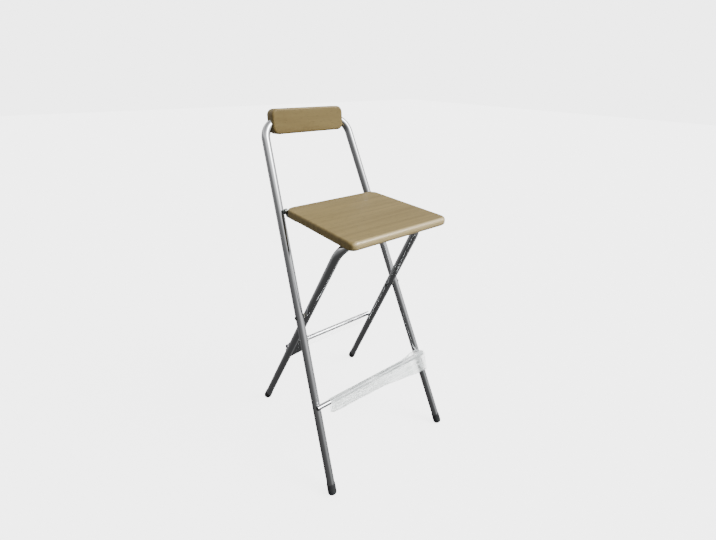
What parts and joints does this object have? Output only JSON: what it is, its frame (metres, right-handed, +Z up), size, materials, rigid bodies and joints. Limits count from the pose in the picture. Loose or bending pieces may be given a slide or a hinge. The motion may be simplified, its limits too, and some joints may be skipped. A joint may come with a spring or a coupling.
{
  "type": "folding bar stool",
  "caption": "Folding bar stool with a bent chromed tube back frame and crossing rear frame, a square wooden seat, a wooden back pad and tubular footrest bars.",
  "frame": {"origin": "centre of the outline in plan, on the floor between the four feet", "axes": "+X to the sitter's left seen from the front, which is the viewer's right; +Y towards the back; +Z up; the stool faces -Y"},
  "size_m": [0.4506, 0.4726, 0.9683],
  "materials": {
    "chromed_steel": "polished chrome plate on bent steel tube",
    "beech": "satin lacquer over light brown wood",
    "grey_plastic": "smooth dark grey moulded plastic",
    "zinc_steel": "dull zinc plate",
    "nylon": "natural nylon",
    "clear_film": "cloudy clear packing film"
  },
  "bodies": {
    "back_frame": {"back_frame_tube": "chromed_steel", "back_pad": "beech", "footrest_bar": "chromed_steel", "footrest_plug_left": "grey_plastic", "footrest_plug_right": "grey_plastic", "footrest_sleeve": "clear_film", "front_foot_cap_left": "grey_plastic", "front_foot_cap_right": "grey_plastic", "hinge_bracket_left": "zinc_steel", "hinge_bracket_right": "zinc_steel", "hinge_pin_left": "zinc_steel", "hinge_pin_right": "zinc_steel", "pad_screw_left": "zinc_steel", "pad_screw_right": "zinc_steel", "pivot_rivet_left": "zinc_steel", "pivot_rivet_right": "zinc_steel", "pivot_spacer_left": "nylon", "pivot_spacer_right": "nylon"},
    "rear_frame": {"rear_foot_cap_left": "grey_plastic", "rear_foot_cap_right": "grey_plastic", "rear_frame_tube": "chromed_steel", "rear_stretcher": "chromed_steel", "stretcher_plug_left": "grey_plastic", "stretcher_plug_right": "grey_plastic", "stretcher_sleeve": "clear_film"},
    "seat": {"hinge_leaf_left": "zinc_steel", "hinge_leaf_right": "zinc_steel", "hook_screw_left_front": "zinc_steel", "hook_screw_left_rear": "zinc_steel", "hook_screw_right_front": "zinc_steel", "hook_screw_right_rear": "zinc_steel", "leaf_screw_left_front": "zinc_steel", "leaf_screw_left_rear": "zinc_steel", "leaf_screw_right_front": "zinc_steel", "leaf_screw_right_rear": "zinc_steel", "seat_board": "beech", "seat_hook_left": "grey_plastic", "seat_hook_right": "grey_plastic"}
  },
  "joints": [
    {"name": "leg_fold", "type": "hinge", "parent": "back_frame", "child": "rear_frame", "pos_m": [0, -0.02176, 0.464], "axis": [-1, 0, 0], "range_deg": [0, 52.4]},
    {"name": "seat_fold", "type": "hinge", "parent": "back_frame", "child": "seat", "pos_m": [0, 0.07373, 0.729], "axis": [-1, 0, 0], "range_deg": [0, 109.6]}
  ],
  "couplings": [
    {"joint": "seat_fold", "follows": "leg_fold", "ratio": 2.09}
  ]
}
